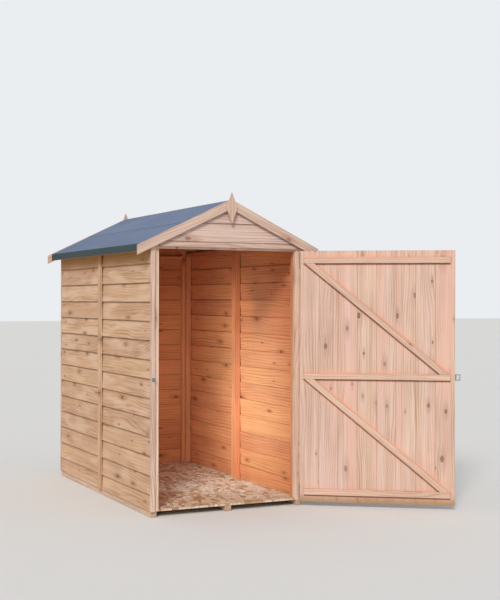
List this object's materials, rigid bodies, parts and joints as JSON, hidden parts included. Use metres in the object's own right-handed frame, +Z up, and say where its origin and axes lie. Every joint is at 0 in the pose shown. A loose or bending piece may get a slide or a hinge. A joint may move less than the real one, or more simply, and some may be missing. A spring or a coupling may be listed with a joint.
{
  "type": "wooden garden shed",
  "caption": "Small apex-roofed garden shed with lapped board walls, felt roof, barge boards and a ledged and braced door that swings on a side hinge.",
  "frame": {"origin": "on the level ground under the middle floor bearer, at the centre of the plan of the walls", "axes": "+X to the right seen from the doorway side, +Y from the doorway to the back wall, +Z up. The row is stored with the door open as in the picture."},
  "size_m": [1.8767, 2.4154, 1.9155],
  "materials": {
    "wall_boards": "rough-sawn, dip-treated tan",
    "gable_boards": "rough-sawn, dip-treated pale tan",
    "trim": "planed, untreated pale wood",
    "framing": "sawn",
    "bearers": "sawn, pressure treated",
    "board_sheet": "pressed flake board",
    "roof_felt": "mineral-faced bitumen felt, matt",
    "door_wood": "planed matchboard with knots",
    "galvanised": "zinc plated"
  },
  "bodies": {
    "shed": {"left_wall_front_panel": "wall_boards", "left_wall_rear_panel": "wall_boards", "right_wall_front_panel": "wall_boards", "right_wall_rear_panel": "wall_boards", "back_wall_boards": "wall_boards", "front_gable_boards": "gable_boards", "left_joint_strip": "trim", "right_joint_strip": "trim", "front_trim_left": "trim", "front_trim_right": "trim", "back_trims": "trim", "front_post_left": "trim", "front_post_right": "trim", "door_header": "trim", "front_barge_left": "trim", "front_barge_right": "trim", "back_barge_left": "trim", "back_barge_right": "trim", "front_finial": "trim", "back_finial": "trim", "eaves_rails": "trim", "left_wall_studs": "framing", "right_wall_studs": "framing", "left_wall_rails": "framing", "right_wall_rails": "framing", "back_posts": "framing", "back_middle_stud": "framing", "back_rail": "framing", "front_rafters": "framing", "back_rafters": "framing", "roof_battens": "framing", "floor_bearers": "bearers", "floor_board": "board_sheet", "roof_panel_left": "board_sheet", "roof_panel_right": "board_sheet", "felt_left": "roof_felt", "felt_right": "roof_felt", "felt_ridge": "roof_felt", "hinge_plates": "galvanised", "latch_staple": "galvanised"},
    "door": {"door_boards": "door_wood", "door_ledges": "door_wood", "door_braces": "door_wood", "hinge_straps": "galvanised", "door_hasp": "galvanised"}
  },
  "joints": [
    {"name": "door_hinge", "type": "hinge", "parent": "shed", "child": "door", "pos_m": [0.4745, -0.914, 0.8], "axis": [0, 0, 1], "range_deg": [-145, 0]}
  ]
}
